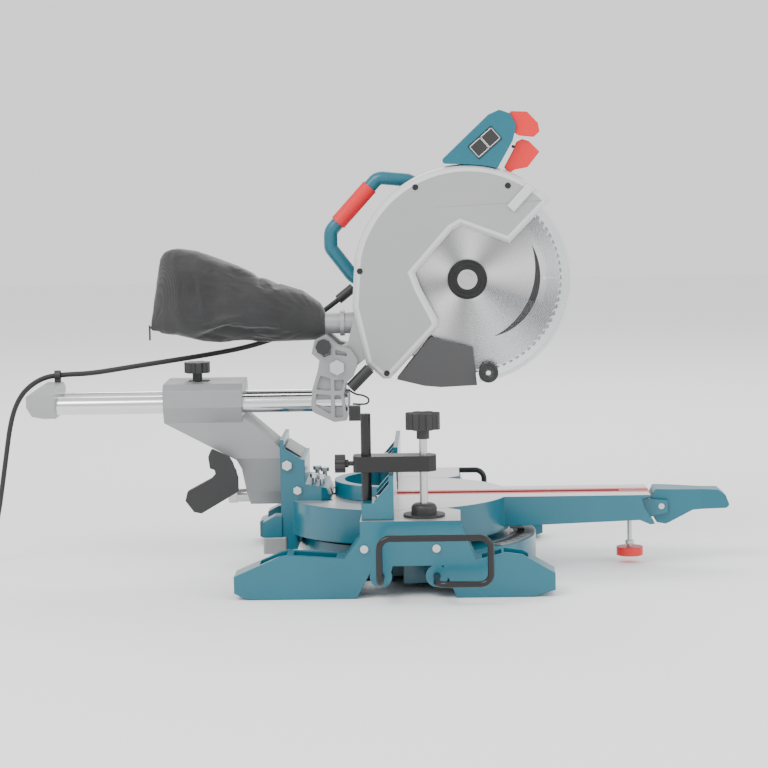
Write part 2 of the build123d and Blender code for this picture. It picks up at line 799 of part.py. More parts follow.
def dust_bag():
    shape = [(-95, 338), (-100, 352), (-123, 369), (-158, 384), (-210, 403), (-256, 421), (-288, 425),
        (-301, 415), (-308, 391),
             (-322, 350), (-325, 327), (-314, 315), (-287, 312), (-265, 307), (-238, 300), (-212, 295),
                 (-160, 299), (-124, 301), (-104, 302), (-95, 309)]
    width = plan([(-95, -16), (-95, 16), (-130, 30), (-200, 40), (-290, 38), (-325, 10), (-325, -10),
        (-290, -38),
                  (-200, -40), (-130, -30)], 280, 440, 4)
    return side(shape, -45, 45, 3) & width


def strain_relief():
    start, stop = Vector(-56, 49.6, 366), Vector(-76, 50, 350)
    return rod(start, stop, 6.5) - rod(start, stop, cord_r)


def gear(x, z, count, bore, phase, y0, y1):
    """A spur gear: involute flanks, thinned a little so that the pair turns freely."""
    pressure = math.radians(25)
    pitch = gear_module * count / 2
    base = pitch * math.cos(pressure)
    tip, root = pitch + 0.8 * gear_module, pitch - 1.1 * gear_module
    half = math.pi / (2 * count) - 0.16 / pitch + math.tan(pressure) - pressure
    points = []
    for tooth in range(count):
        middle = 2 * math.pi * tooth / count + phase
        flank = []
        for step in range(5):
            radius = max(base, root) + (tip - max(base, root)) * step / 4
            roll = math.acos(min(1.0, base / radius))
            flank.append((radius, half - (math.tan(roll) - roll)))
        edge = [(root, flank[0][1])] + flank if root < base else flank
        for radius, turn in edge:
            points.append((x + radius * math.cos(middle - turn), z + radius * math.sin(middle - turn)))
        for radius, turn in reversed(edge):
            points.append((x + radius * math.cos(middle + turn), z + radius * math.sin(middle + turn)))
    return side(points, y0, y1) - rod((x, y0 - 1, z), (x, y1 + 1, z), bore)


# ---- blade, guard and rotor ----

def saw_blade():
    plane = Plane(origin=(blade_x, blade_half, blade_z), x_dir=(1, 0, 0), z_dir=(0, -1, 0))
    points = []
    for tooth in range(teeth):
        turn = 360.0 * tooth / teeth
        points.append(polar(blade_r, turn))
        points.append(polar(blade_r - 5.5, turn + 0.6))
        points.append(polar(blade_r - 5.5, turn + 1.9))
        points.append(polar(blade_r - 1.5, turn + 3.4))
    face = make_face(Polyline(*points, close=True)) - Circle(arbor_r)
    for slot in PolarLocations(0, 4):
        face -= slot * Pos(blade_r - 12, 0) * Rectangle(24, 1.2)
        face -= slot * Pos(blade_r - 24, 0) * Circle(2.2)
    return extrude(plane * face, 2 * blade_half)


def flange(y0, y1):
    part = rod((blade_x, y0, blade_z), (blade_x, y1, blade_z), flange_r) - rod((blade_x, y0, blade_z),
        (blade_x, y1, blade_z), arbor_r)
    return part


def arbor():
    return rod((blade_x, -blade_half - 6, blade_z), (blade_x, motor_start - 9, blade_z), arbor_r)


def arbor_bolt():
    part = rod((blade_x, -blade_half - 9, blade_z), (blade_x, -blade_half - 6, blade_z), 13)
    return part + hexagon((blade_x, -blade_half - 14, blade_z), (0, 1, 0), 14, 5)


def wedge(start, stop, reach, y0, y1):
    step = (stop - start) / 4
    points = [(blade_x, blade_z)]
    for n in range(5):
        points.append(polar(reach, start + n * step, blade_x, blade_z))
    return side(points, y0, y1)


def lower_guard():
    y = guard_y
    far = tube((blade_x, y - guard_wall, blade_z), (blade_x, y, blade_z), guard_r, guard_hub_r - 5.7)
    rim = tube((blade_x, -y, blade_z), (blade_x, y, blade_z), guard_r, guard_r - guard_wall)
    near = tube((blade_x, -y, blade_z), (blade_x, -y + guard_wall, blade_z), guard_r, 103)
    low = tube((blade_x, -y, blade_z), (blade_x, -y + guard_wall, blade_z), guard_r, flange_r + 4)
    part = (far + rim + near) & wedge(-84, 60, 260, -y - 1, y + 1)
    part += low & wedge(-84, -19, 260, -y - 1, y + 1)
    part += tube((blade_x, y - guard_wall, blade_z), (blade_x, y, blade_z), guard_hub_r, guard_hub_r - 5.7)
    x, z = polar(roller_arc, -78, blade_x, blade_z)
    return part - rod((x, -y - 1, z), (x, -y + guard_wall + 1, z), 3) + roller_pin()


def guard_roller():
    x, z = polar(roller_arc, -78, blade_x, blade_z)
    return tube((x, -guard_y - 12, z), (x, -guard_y - 1, z), roller_r, 3 + fit)


def roller_pin():
    x, z = polar(roller_arc, -78, blade_x, blade_z)
    return rod((x, -guard_y - 12.5, z), (x, -guard_y + guard_wall, z), 3) + rod(
        (x, -guard_y - 14.5, z), (x, -guard_y - 12.5, z), 5)


def rotor():
    part = rod((motor_x, motor_start - 13, motor_z), (motor_x, motor_end + 10, motor_z), arbor_r)
    part += rod((motor_x, motor_start + 22, motor_z), (motor_x, motor_end - 28, motor_z), 30)
    part += rod((motor_x, motor_end - 24, motor_z), (motor_x, motor_end - 8, motor_z), 19.5)
    teeth_part = gear(motor_x, motor_z, pinion_teeth, arbor_r - 1, pinion_phase, gear_y - 1,
        gear_y + gear_width + 1)
    return part + cooling_fan() + teeth_part + rod((motor_x, gear_y - 4, motor_z),
        (motor_x, motor_start, motor_z), arbor_r)


def cooling_fan():
    y0 = motor_start + 4
    part = tube((motor_x, y0, motor_z), (motor_x, y0 + 3, motor_z), 44, arbor_r)
    for turn in range(0, 360, 30):
        blade = box(16, 42, y0 + 3, y0 + 13, -1, 1)
        part += Pos(motor_x, 0, motor_z) * Rot(0, turn, 0) * blade
    return part


# ---- work clamp ----

def clamp_post():
    return rod((post_x, post_y, table_z - 24), (post_x, post_y, post_top), post_r)


def clamp_arm():
    shape = [(-50, post_y - 12), (-46, post_y - 16), (44, post_y - 16), (53, post_y - 7), (53, post_y + 7),
             (44, post_y + 16), (-46, post_y + 16), (-50, post_y + 12)]
    part = plan(shape, clamp_low, clamp_high)
    part -= rod((post_x, post_y, 100), (post_x, post_y, 200), post_r + fit)
    part -= rod((screw_x, post_y, 100), (screw_x, post_y, 200), screw_r + fit)
    return part - rod((-60, post_y, 163), (post_x - post_r, post_y, 163), 3 + fit)


def clamp_knob():
    part = rod((-58, post_y, 163), (post_x - post_r - 0.4, post_y, 163), 3)
    part += rod((-60, post_y, 163), (-56, post_y, 163), 5)
    return part + lobed((-73, post_y, 163), (1, 0, 0), 11.5, 8, 13)


def clamp_screw():
    part = rod((screw_x, post_y, 104), (screw_x, post_y, 206), screw_r)
    return part


def screw_knob():
    part = lobed((screw_x, post_y, 205), (0, 0, 1), 22, 8, 20)
    part += rod((screw_x, post_y, 193), (screw_x, post_y, 205), 8)
    return part - rod((screw_x, post_y, 190), (screw_x, post_y, 206), screw_r)


def clamp_pad():
    part = rod((screw_x, post_y, table_z + pad_gap), (screw_x, post_y, table_z + 3), 26)
    part += rod((screw_x, post_y, table_z + 3), (screw_x, post_y, table_z + 16), 16)
    part = fillet(part.edges().group_by(Axis.Z)[-1], 6)
    return part - rod((screw_x, post_y, 104), (screw_x, post_y, 120), screw_r)


# ---- cords ----

def bend_radii(points):
    """Each bend as wide as its two runs allow."""
    radii = []
    for n in range(1, len(points) - 1):
        before = Vector(*points[n]) - Vector(*points[n - 1])
        after = Vector(*points[n + 1]) - Vector(*points[n])
        half = math.radians(before.get_angle(after)) / 2
        radii.append(0.45 * min(before.length, after.length) / math.tan(half))
    return radii


def cord(points, radius, name):
    radii = bend_radii(points)
    line = FilletPolyline(*points, radius=radii)
    part = sweep(Plane(origin=line @ 0, z_dir=line % 0) * Circle(radius), path=line)
    print(name, "length", round(line.length), "radii", [round(r) for r in radii],
          "volume ratio", round(part.volume / (math.pi * radius ** 2 * line.length), 4))
    return part


def power_route():
    return [
        (-76, 50, 350), (-110, 53.5, 324), (-150, 56, 303), (-198, 56, 288), (-250, 53, 279),
            (-305, 47, 271.5),
        (-358, 40, 264.5), (-408, 32, 257.6), (-446, 30, 256.9), (-472, 30, 253.5), (-496, 32, 238),
            (-511, 36, 216), (-520, 40, 188),
        (-527, 45, 150), (-534, 49, 110), (-541, 53, 72), (-549, 58, 41), (-560, 65, 19), (-576, 74, 7),
            (-598, 85, 3.7),
        (-617.5, 93, 3.6),
    ]


def cord_coil():
    """The outer shape of the wound cord: two layers of two and a half turns."""
    return tube((coil_x, coil_y, coil_low), (coil_x, coil_y, coil_high), coil_outer + cord_r,
        coil_inner - cord_r)


def cord_plug():
    length, half, high, pin_reach, pin_r = 28, 10, 18, 16, 2.4
    body = box(plug_x - length, plug_x, plug_y - half, plug_y + half, 0.2, high)
    body = fillet(body.edges().filter_by(Axis.X), 4)
    for y in (plug_y - 5.7, plug_y + 5.7):
        body += rod((plug_x - length - pin_reach, y, 9), (plug_x - length + 1, y, 9), pin_r)
    collar = tube((plug_x, plug_y, plug_z), (plug_x + 2.4, plug_y, plug_z), 5, 2)
    tail = rod((plug_x, plug_y, plug_z), (coil_x - 10, plug_y, plug_z), pin_r)
    return body + collar + tail


nodes = {
    "base_casting": base_casting,
    "fence": fence,
    "base_screws": lambda: fence_bolts() + bar_screws(),
    "miter_scale": miter_scale,
    "near_support_bar": bent_bar,
    "far_support_bar": lambda: mirror(bent_bar(), Plane.XZ),
    "turntable": turntable,
    "kerf_insert": kerf_insert,
    "turntable_fasteners": lambda: insert_screws() + stop_bolts() + handle_pin(),
    "bevel_scale_and_pointer": lambda: bevel_scale() + pointer(),
    "miter_handle": miter_handle,
    "front_foot": front_foot,
    "bevel_arm": bevel_arm,
    "slide_bushes": slide_bushes,
    "bevel_pin": bevel_pin,
    "bevel_lever": bevel_lever,
    "rail_lock_knob": rail_knob,
    "near_rail": lambda: rail(-rail_y),
    "far_rail": lambda: rail(rail_y),
    "rail_end_cap": end_cap,
    "cord_clip": cord_clip,
    "arm_bracket": arm_bracket,
    "pivot_pin": pivot_pin,
    "head_lock_pin": lock_pin,
    "work_light": lambda: work_light() + lamp_block(),
    "light_lead": lambda: cord(lead_points(), lead_r, "light_lead"),
    "gear_head": gear_head,
    "blade_case": blade_case,
    "case_fasteners": lambda: case_screws() + trigger_pin(),
    "bearings": bearings,
    "dust_chute": dust_chute,
    "handle_shell": handle_shell,
    "switch_panel": switch_panel,
    "upper_switch": lambda: switch_tile(9.6, -27.5, -22.4, 7.6),
    "lower_switch": lambda: switch_tile(-9.6, -27.5, -22.4, 7.6),
    "rear_grip": rear_grip,
    "trigger": trigger,
    "carry_handle": carry_handle,
    "carry_grip": carry_grip,
    "motor_housing": motor_housing,
    "motor_cap": motor_cap,
    "stator": stator,
    "dust_port": dust_port,
    "dust_bag": dust_bag,
    "strain_relief": strain_relief,
    "saw_blade": saw_blade,
    "blade_flanges": lambda: flange(-blade_half - 6, -blade_half) + flange(blade_half, blade_half + 6),
    "arbor": lambda: arbor() + arbor_bolt(),
    "drive_wheel": lambda: gear(blade_x, blade_z, wheel_teeth, arbor_r, wheel_phase, gear_y,
        gear_y + gear_width),
    "lower_guard": lower_guard,
    "guard_roller": guard_roller,
    "rotor": rotor,
    "clamp_post": clamp_post,
    "clamp_arm": clamp_arm,
    "clamp_lock_knob": clamp_knob,
    "clamp_screw": clamp_screw,
    "clamp_knob_and_pad": lambda: screw_knob() + clamp_pad(),
    "power_cord": lambda: cord(power_route(), cord_r, "power_cord"),
    "cord_coil": cord_coil,
    "cord_plug": cord_plug,
}

os.makedirs("parts", exist_ok=True)
print(len(nodes), "nodes")
for name, make in nodes.items():
    save(name, make())
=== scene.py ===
import bpy
import bmesh
import math
from mathutils import Matrix, Vector


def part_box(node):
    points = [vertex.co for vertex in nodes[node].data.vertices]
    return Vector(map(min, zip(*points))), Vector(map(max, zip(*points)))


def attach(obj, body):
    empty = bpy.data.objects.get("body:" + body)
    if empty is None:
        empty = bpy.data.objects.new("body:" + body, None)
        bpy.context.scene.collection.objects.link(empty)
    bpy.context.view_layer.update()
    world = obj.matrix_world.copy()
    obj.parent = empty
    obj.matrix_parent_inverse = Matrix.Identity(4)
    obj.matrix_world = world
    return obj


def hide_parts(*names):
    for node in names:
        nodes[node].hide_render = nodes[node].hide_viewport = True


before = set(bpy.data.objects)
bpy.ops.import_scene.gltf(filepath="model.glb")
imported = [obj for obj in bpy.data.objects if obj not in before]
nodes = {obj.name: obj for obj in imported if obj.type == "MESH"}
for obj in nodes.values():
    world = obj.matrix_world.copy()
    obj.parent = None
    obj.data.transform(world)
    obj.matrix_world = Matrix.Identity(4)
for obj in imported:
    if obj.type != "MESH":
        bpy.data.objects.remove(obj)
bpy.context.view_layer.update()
print("frame loaded:", len(nodes), "nodes")

# places that several pieces share, in metres, taken from the frame
bladeLow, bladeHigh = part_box("saw_blade")
bladeCentre = (bladeLow + bladeHigh) / 2
bladeRadius = (bladeHigh.x - bladeLow.x) / 2
coverLow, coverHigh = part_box("blade_case")
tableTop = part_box("base_casting")[1].z
tealColor = (0.003, 0.118, 0.170)


def addNode(tree, kind, **values):
    node = tree.nodes.new(kind)
    for key, value in values.items():
        setattr(node, key, value)
    return node


def setInput(tree, socket, value):
    if isinstance(value, bpy.types.NodeSocket):
        tree.links.new(value, socket)
    else:
        socket.default_value = value


def calc(tree, operation, first, second=0.0, third=0.0):
    node = addNode(tree, "ShaderNodeMath", operation=operation)
    for socket, value in zip(node.inputs, (first, second, third)):
        setInput(tree, socket, value)
    return node.outputs[0]


def remap(tree, value, low, high, toLow=0.0, toHigh=1.0):
    node = addNode(tree, "ShaderNodeMapRange")
    given = {"Value": value, "From Min": low, "From Max": high, "To Min": toLow, "To Max": toHigh}
    for name, amount in given.items():
        setInput(tree, node.inputs[name], amount)
    return node.outputs["Result"]


def blendColor(tree, factor, first, second):
    node = addNode(tree, "ShaderNodeMix", data_type="RGBA")
    setInput(tree, node.inputs[0], factor)
    for index, value in ((6, first), (7, second)):
        setInput(tree, node.inputs[index], value if isinstance(value, bpy.types.NodeSocket) else (*value, 1))
    return node.outputs[2]


def noise(tree, scale, detail=3.0, stretch=(1, 1, 1)):
    coords = addNode(tree, "ShaderNodeTexCoord")
    mapping = addNode(tree, "ShaderNodeMapping")
    mapping.inputs["Scale"].default_value = stretch
    texture = addNode(tree, "ShaderNodeTexNoise")
    texture.inputs["Scale"].default_value = scale
    texture.inputs["Detail"].default_value = detail
    tree.links.new(coords.outputs["Object"], mapping.inputs["Vector"])
    tree.links.new(mapping.outputs["Vector"], texture.inputs["Vector"])
    return texture.outputs[0]


def place(tree):
    # the x, y and z of a point in the row's frame
    coords = addNode(tree, "ShaderNodeTexCoord")
    split = addNode(tree, "ShaderNodeSeparateXYZ")
    tree.links.new(coords.outputs["Object"], split.inputs[0])
    return split.outputs


def facing(tree):
    # the way a face points, in the row's frame
    coords = addNode(tree, "ShaderNodeTexCoord")
    split = addNode(tree, "ShaderNodeSeparateXYZ")
    tree.links.new(coords.outputs["Normal"], split.inputs[0])
    return split.outputs


def bump(tree, shader, height, strength, distance, rounded=0.0):
    node = addNode(tree, "ShaderNodeBump")
    node.inputs["Strength"].default_value = strength
    node.inputs["Distance"].default_value = distance
    tree.links.new(height, node.inputs["Height"])
    if rounded:
        edge = addNode(tree, "ShaderNodeBevel", samples=4)
        edge.inputs["Radius"].default_value = rounded
        tree.links.new(edge.outputs[0], node.inputs["Normal"])
    tree.links.new(node.outputs[0], shader.inputs["Normal"])


def newMaterial(name, look):
    material = bpy.data.materials.new(name)
    material.use_nodes = True
    tree = material.node_tree
    shader = tree.nodes["Principled BSDF"]
    shader.inputs["Metallic"].default_value = look.get("metal", 0.0)
    for key, socket in (("coat", "Coat Weight"), ("coatRough", "Coat Roughness"), ("sheen", "Sheen Weight"),
                        ("clear", "Transmission Weight"), ("ior", "IOR"), ("brush", "Anisotropic")):
        if key in look:
            shader.inputs[socket].default_value = look[key]
    material.diffuse_color = (*look["color"], 1)
    return material, tree, shader


def surface(name, look):
    # a finish whose colour, roughness and grain vary a little over the piece
    material, tree, shader = newMaterial(name, look)
    color, vary, rough = look["color"], look.get("vary", 0.08), look["rough"]
    darker, lighter = [c * (1 - vary) for c in color], [c * (1 + vary) for c in color]
    broad = noise(tree, look.get("broad", 12.0), 4.0)
    tree.links.new(blendColor(tree, broad, darker, lighter), shader.inputs["Base Color"])
    tree.links.new(remap(tree, broad, 0.3, 0.7, rough * 0.85, rough * 1.15), shader.inputs["Roughness"])
    fine = noise(tree, look.get("grain", 600.0), 2.0, look.get("stretch", (1, 1, 1)))
    bump(tree, shader, fine, look.get("bump", 0.15), look.get("depth", 0.0003), look.get("rounded", 0.0))
    return material


looks = {
    "greyCasting": {"color": (0.30, 0.305, 0.31), "metal": 0.45, "rough": 0.40, "grain": 900,
                    "bump": 0.22, "rounded": 0.0012},
    "greyPaint": {"color": (0.34, 0.345, 0.35), "metal": 0.3, "rough": 0.34, "grain": 700, "bump": 0.08,
                  "rounded": 0.001},
    "coverPaint": {"color": (0.36, 0.363, 0.367), "metal": 0.15, "rough": 0.36, "grain": 800,
                   "bump": 0.06, "vary": 0.03},
    # a lighter copy of the cover paint: painted highlight on the cover's rounded rim and its rib
    "coverEdgeHighlight": {"color": (0.62, 0.625, 0.63), "metal": 0.1, "rough": 0.34, "grain": 800, "bump": 0.05,
                  "vary": 0.02},
    "steel": {"color": (0.56, 0.56, 0.57), "metal": 1.0, "rough": 0.28, "grain": 500, "bump": 0.06,
              "rounded": 0.0004},
    "blackSteel": {"color": (0.016, 0.016, 0.017), "metal": 0.3, "rough": 0.30, "grain": 700,
                   "bump": 0.08, "rounded": 0.0008},
    "blackPlastic": {"color": (0.020, 0.020, 0.021), "rough": 0.45, "grain": 1100, "bump": 0.18,
                     "rounded": 0.0008},
    "greyPlastic": {"color": (0.055, 0.055, 0.057), "rough": 0.5, "grain": 1000, "bump": 0.16,
                    "rounded": 0.0008},
    "tealPlastic": {"color": tealColor, "rough": 0.38, "grain": 1200, "bump": 0.12, "rounded": 0.0014,
                    "coat": 0.15},
    "redPlastic": {"color": (0.74, 0.012, 0.014), "rough": 0.42, "grain": 900, "bump": 0.14,
                   "rounded": 0.0014},
    "redRubber": {"color": (0.70, 0.014, 0.018), "rough": 0.6, "grain": 500, "bump": 0.35,
                  "depth": 0.0004, "rounded": 0.001},
    "cordRubber": {"color": (0.014, 0.014, 0.015), "rough": 0.55, "grain": 1500, "bump": 0.12},
    "copper": {"color": (0.72, 0.30, 0.15), "metal": 1.0, "rough": 0.35, "grain": 500, "bump": 0.2},
    # black for the printed scale ticks, also the painted shade of the motor's vent slots
    "inkAndVentShade": {"color": (0.02, 0.02, 0.02), "rough": 0.6, "grain": 900, "bump": 0.02},
    "carbide": {"color": (0.32, 0.32, 0.33), "metal": 1.0, "rough": 0.3, "grain": 900, "bump": 0.05},
}
finish = {name: surface(name, look) for name, look in looks.items()}


def castingWithMachinedFace(name, axis, low, high):
    # teal enamel, cut back to bright metal where one face was milled
    look = {"color": tealColor, "rough": 0.33, "coat": 0.35, "coatRough": 0.15}
    material, tree, shader = newMaterial(name, look)
    broad = noise(tree, 9.0, 4.0)
    paint = blendColor(tree, broad, [c * 0.82 for c in tealColor], [c * 1.2 for c in tealColor])
    milled = noise(tree, 240.0, 3.0, (0.04, 1, 1) if axis == "z" else (1, 0.04, 1))
    metal = blendColor(tree, milled, (0.50, 0.50, 0.51), (0.66, 0.66, 0.66))
    index = "xyz".index(axis)
    where, way = place(tree)[index], facing(tree)[index]
    inside = calc(tree, "MULTIPLY", calc(tree, "GREATER_THAN", where, low),
                  calc(tree, "LESS_THAN", where, high))
    mask = calc(tree, "MULTIPLY", inside, calc(tree, "GREATER_THAN", way, 0.8))
    tree.links.new(blendColor(tree, mask, paint, metal), shader.inputs["Base Color"])
    tree.links.new(calc(tree, "MULTIPLY", mask, 0.75), shader.inputs["Metallic"])
    grain = noise(tree, 500.0, 2.0)
    tree.links.new(remap(tree, mask, 0.0, 1.0, 0.32, 0.42), shader.inputs["Roughness"])
    bump(tree, shader, grain, 0.12, 0.0003, 0.0016)
    return material


def railChrome():
    material, tree, shader = newMaterial("railChrome", {"color": (0.7, 0.7, 0.7), "metal": 1.0})
    lines = noise(tree, 60.0, 2.0, (0.5, 30, 30))
    tree.links.new(blendColor(tree, lines, (0.62, 0.62, 0.63), (0.80, 0.80, 0.81)),
                   shader.inputs["Base Color"])
    tree.links.new(remap(tree, lines, 0.3, 0.7, 0.12, 0.24), shader.inputs["Roughness"])
    return material


def bladeSteel():
    # ground steel: rings round the arbor, painted highlights and painted shade in broad sectors across them,
    # and three printed crescents
    settings = {"highlightFans": 5.0, "rings": 2600.0, "printRadius": 0.083, "printWidth": 0.030, "prints": 3.0}
    material, tree, shader = newMaterial("bladeSteel", {"color": (0.6, 0.6, 0.6), "metal": 1.0, "brush": 0.6})
    xyz = place(tree)
    x = calc(tree, "SUBTRACT", xyz[0], bladeCentre.x)
    z = calc(tree, "SUBTRACT", xyz[2], bladeCentre.z)
    radius = calc(tree, "SQRT", calc(tree, "ADD", calc(tree, "MULTIPLY", x, x), calc(tree, "MULTIPLY", z, z)))
    angle = calc(tree, "ARCTAN2", z, x)
    # painted highlights and shade: the steel's colour goes lighter and darker with the angle round the arbor,
    # like the sectors of light on brushed steel
    highlightWave = calc(tree, "SINE", calc(tree, "MULTIPLY_ADD", angle, settings["highlightFans"], 0.6))
    ring = calc(tree, "SINE", calc(tree, "MULTIPLY", radius, settings["rings"]))
    highlightShare = remap(tree, highlightWave, -1.0, 1.0, 0.0, 1.0)
    steel = blendColor(tree, highlightShare, (0.36, 0.36, 0.37), (0.74, 0.74, 0.75))
    turn = calc(tree, "FRACT", calc(tree, "MULTIPLY_ADD", angle, settings["prints"] / math.tau, 0.55))
    bow = calc(tree, "MULTIPLY", turn, calc(tree, "SUBTRACT", 0.78, turn))
    width = calc(tree, "MULTIPLY", bow, settings["printWidth"])
    drift = calc(tree, "MULTIPLY_ADD", turn, 0.016, settings["printRadius"])
    gap = calc(tree, "ABSOLUTE", calc(tree, "SUBTRACT", radius, drift))
    printed = calc(tree, "LESS_THAN", gap, width)
    tree.links.new(blendColor(tree, printed, steel, (0.03, 0.03, 0.032)), shader.inputs["Base Color"])
    tree.links.new(calc(tree, "SUBTRACT", 1.0, calc(tree, "MULTIPLY", printed, 0.9)),
                   shader.inputs["Metallic"])
    tree.links.new(remap(tree, ring, -1.0, 1.0, 0.24, 0.34), shader.inputs["Roughness"])
    bump(tree, shader, ring, 0.05, 0.0001)
    return material


def clearPlastic():
    look = {"color": (0.93, 0.95, 0.95), "clear": 1.0, "ior": 1.22, "coat": 0.4}
    material, tree, shader = newMaterial("clearPlastic", look)
    haze = noise(tree, 18.0, 4.0)
    tree.links.new(blendColor(tree, haze, (0.84, 0.87, 0.88), (0.97, 0.98, 0.98)),
                   shader.inputs["Base Color"])
    tree.links.new(remap(tree, haze, 0.3, 0.7, 0.02, 0.08), shader.inputs["Roughness"])
    return material


def meshCloth():
    # open black mesh: a diamond lattice a little over a millimetre apart, with painted shade in the openings
    # between the threads
    settings = {"pitch": 0.0016, "thread": (0.030, 0.030, 0.032), "holeShade": (0.004, 0.004, 0.004)}
    material, tree, shader = newMaterial("meshCloth", {"color": settings["thread"], "sheen": 0.35})
    xyz = place(tree)
    step = math.tau / settings["pitch"] / 2
    along = calc(tree, "MULTIPLY", calc(tree, "ADD", xyz[0], calc(tree, "ADD", xyz[2], xyz[1])), step)
    apart = calc(tree, "SUBTRACT", xyz[0], calc(tree, "SUBTRACT", xyz[2], xyz[1]))
    across = calc(tree, "MULTIPLY", apart, step)
    lattice = calc(tree, "MULTIPLY", calc(tree, "SINE", along), calc(tree, "SINE", across))
    height = remap(tree, lattice, -1.0, 1.0, 0.0, 1.0)
    # painted shade: the lattice's low points, the openings, take a near-black colour, darker than the threads
    tree.links.new(blendColor(tree, height, settings["holeShade"], settings["thread"]),
                   shader.inputs["Base Color"])
    tree.links.new(remap(tree, noise(tree, 30.0), 0.3, 0.7, 0.7, 0.88), shader.inputs["Roughness"])
    bump(tree, shader, height, 0.35, 0.0005)
    return material


def insertRed():
    # red plate that turns dark grey over the blade slot and within 9 mm of its middle
    material, tree, shader = newMaterial("insertRed", {"color": (0.6, 0.02, 0.02)})
    y = calc(tree, "ABSOLUTE", place(tree)[1])
    scuff = noise(tree, 90.0, 5.0, (0.15, 1, 1))
    red = blendColor(tree, scuff, (0.52, 0.012, 0.014), (0.72, 0.03, 0.03))
    # dark grey within 6 mm of the slot's middle, fading back to red by 9 mm
    darkNearSlot = remap(tree, y, 0.006, 0.009, 1.0, 0.0)
    tree.links.new(blendColor(tree, darkNearSlot, red, (0.05, 0.045, 0.045)), shader.inputs["Base Color"])
    tree.links.new(remap(tree, scuff, 0.3, 0.7, 0.35, 0.5), shader.inputs["Roughness"])
    bump(tree, shader, scuff, 0.1, 0.0002, 0.0005)
    return material


def footPad():
    # zinc-plated rod above, red pad below
    material, tree, shader = newMaterial("footPad", {"color": (0.7, 0.02, 0.02)})
    padThick = 0.0111
    upper = calc(tree, "GREATER_THAN", place(tree)[2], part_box("front_foot")[0].z + padThick)
    fine = noise(tree, 400.0, 3.0)
    red = blendColor(tree, fine, (0.60, 0.012, 0.014), (0.78, 0.02, 0.02))
    tree.links.new(blendColor(tree, upper, red, (0.6, 0.6, 0.6)), shader.inputs["Base Color"])
    tree.links.new(upper, shader.inputs["Metallic"])
    tree.links.new(remap(tree, fine, 0.3, 0.7, 0.32, 0.42), shader.inputs["Roughness"])
    bump(tree, shader, fine, 0.1, 0.0002, 0.001)
    return material


finish["tableCasting"] = castingWithMachinedFace("tableCasting", "z", tableTop - 0.0004, tableTop + 0.0004)
finish["fenceCasting"] = castingWithMachinedFace("fenceCasting", "x", -0.0004, 0.0004)
finish["railChrome"] = railChrome()
finish["bladeSteel"] = bladeSteel()
finish["clearPlastic"] = clearPlastic()
finish["meshCloth"] = meshCloth()
finish["insertRed"] = insertRed()
finish["footPad"] = footPad()

nodeFinish = {
    "tableCasting": ["base_casting", "turntable"],
    "fenceCasting": ["fence"],
    "tealPlastic": ["miter_handle", "handle_shell", "carry_handle", "motor_housing"],
    "greyCasting": ["bevel_arm", "arm_bracket", "bevel_scale_and_pointer", "miter_scale"],
    "greyPaint": ["rail_end_cap", "gear_head", "blade_case", "dust_port"],
    "railChrome": ["near_rail", "far_rail"],
    "steel": ["base_screws", "turntable_fasteners", "bevel_pin", "pivot_pin", "slide_bushes", "bearings",
              "arbor", "drive_wheel", "clamp_screw"],
    "blackSteel": ["near_support_bar", "far_support_bar", "clamp_post", "clamp_arm", "case_fasteners",
                   "blade_flanges"],
    "blackPlastic": ["bevel_lever", "rail_lock_knob", "cord_clip", "work_light", "switch_panel",
                     "upper_switch", "lower_switch", "motor_cap", "clamp_lock_knob", "clamp_knob_and_pad",
                     "guard_roller", "head_lock_pin", "cord_plug", "strain_relief"],
    "greyPlastic": ["dust_chute"],
    "redPlastic": ["rear_grip", "trigger"],
    "redRubber": ["carry_grip"],
    "insertRed": ["kerf_insert"],
    "footPad": ["front_foot"],
    "bladeSteel": ["saw_blade"],
    "clearPlastic": ["lower_guard"],
    "copper": ["stator", "rotor"],
    "cordRubber": ["power_cord", "cord_coil", "light_lead"],
    "meshCloth": ["dust_bag"],
}
for name, members in nodeFinish.items():
    for member in members:
        slots = nodes[member].data.materials
        slots.clear()
        slots.append(finish[name])
print("finishes set on", sum(len(members) for members in nodeFinish.values()), "nodes")


def asObject(name, mesh, body, materials, smooth=False):
    data = bpy.data.meshes.new(name)
    mesh.to_mesh(data)
    mesh.free()
    if smooth:
        data.shade_smooth()
    piece = bpy.data.objects.new(name, data)
    bpy.context.scene.collection.objects.link(piece)
    for material in materials:
        data.materials.append(finish[material])
    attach(piece, body)
    return piece


def addBlock(mesh, centre, size, turn=None, soft=0.0):
    matrix = Matrix.Translation(centre) @ (turn or Matrix.Identity(4)) @ Matrix.Diagonal((*size, 1))
    made = bmesh.ops.create_cube(mesh, size=1.0, matrix=matrix)
    if soft:
        edges = list({edge for vert in made["verts"] for edge in vert.link_edges})
        bmesh.ops.bevel(mesh, geom=edges, offset=soft, segments=2, profile=0.5, affect="EDGES", material=-1)


def addDisc(mesh, centre, axis, radius, depth, segments=32, narrow=1.0):
    turn = Vector(axis).to_track_quat("Z", "Y").to_matrix().to_4x4()
    bmesh.ops.create_cone(mesh, cap_ends=True, segments=segments, radius1=radius, radius2=radius * narrow,
                          depth=depth, matrix=Matrix.Translation(centre) @ turn)


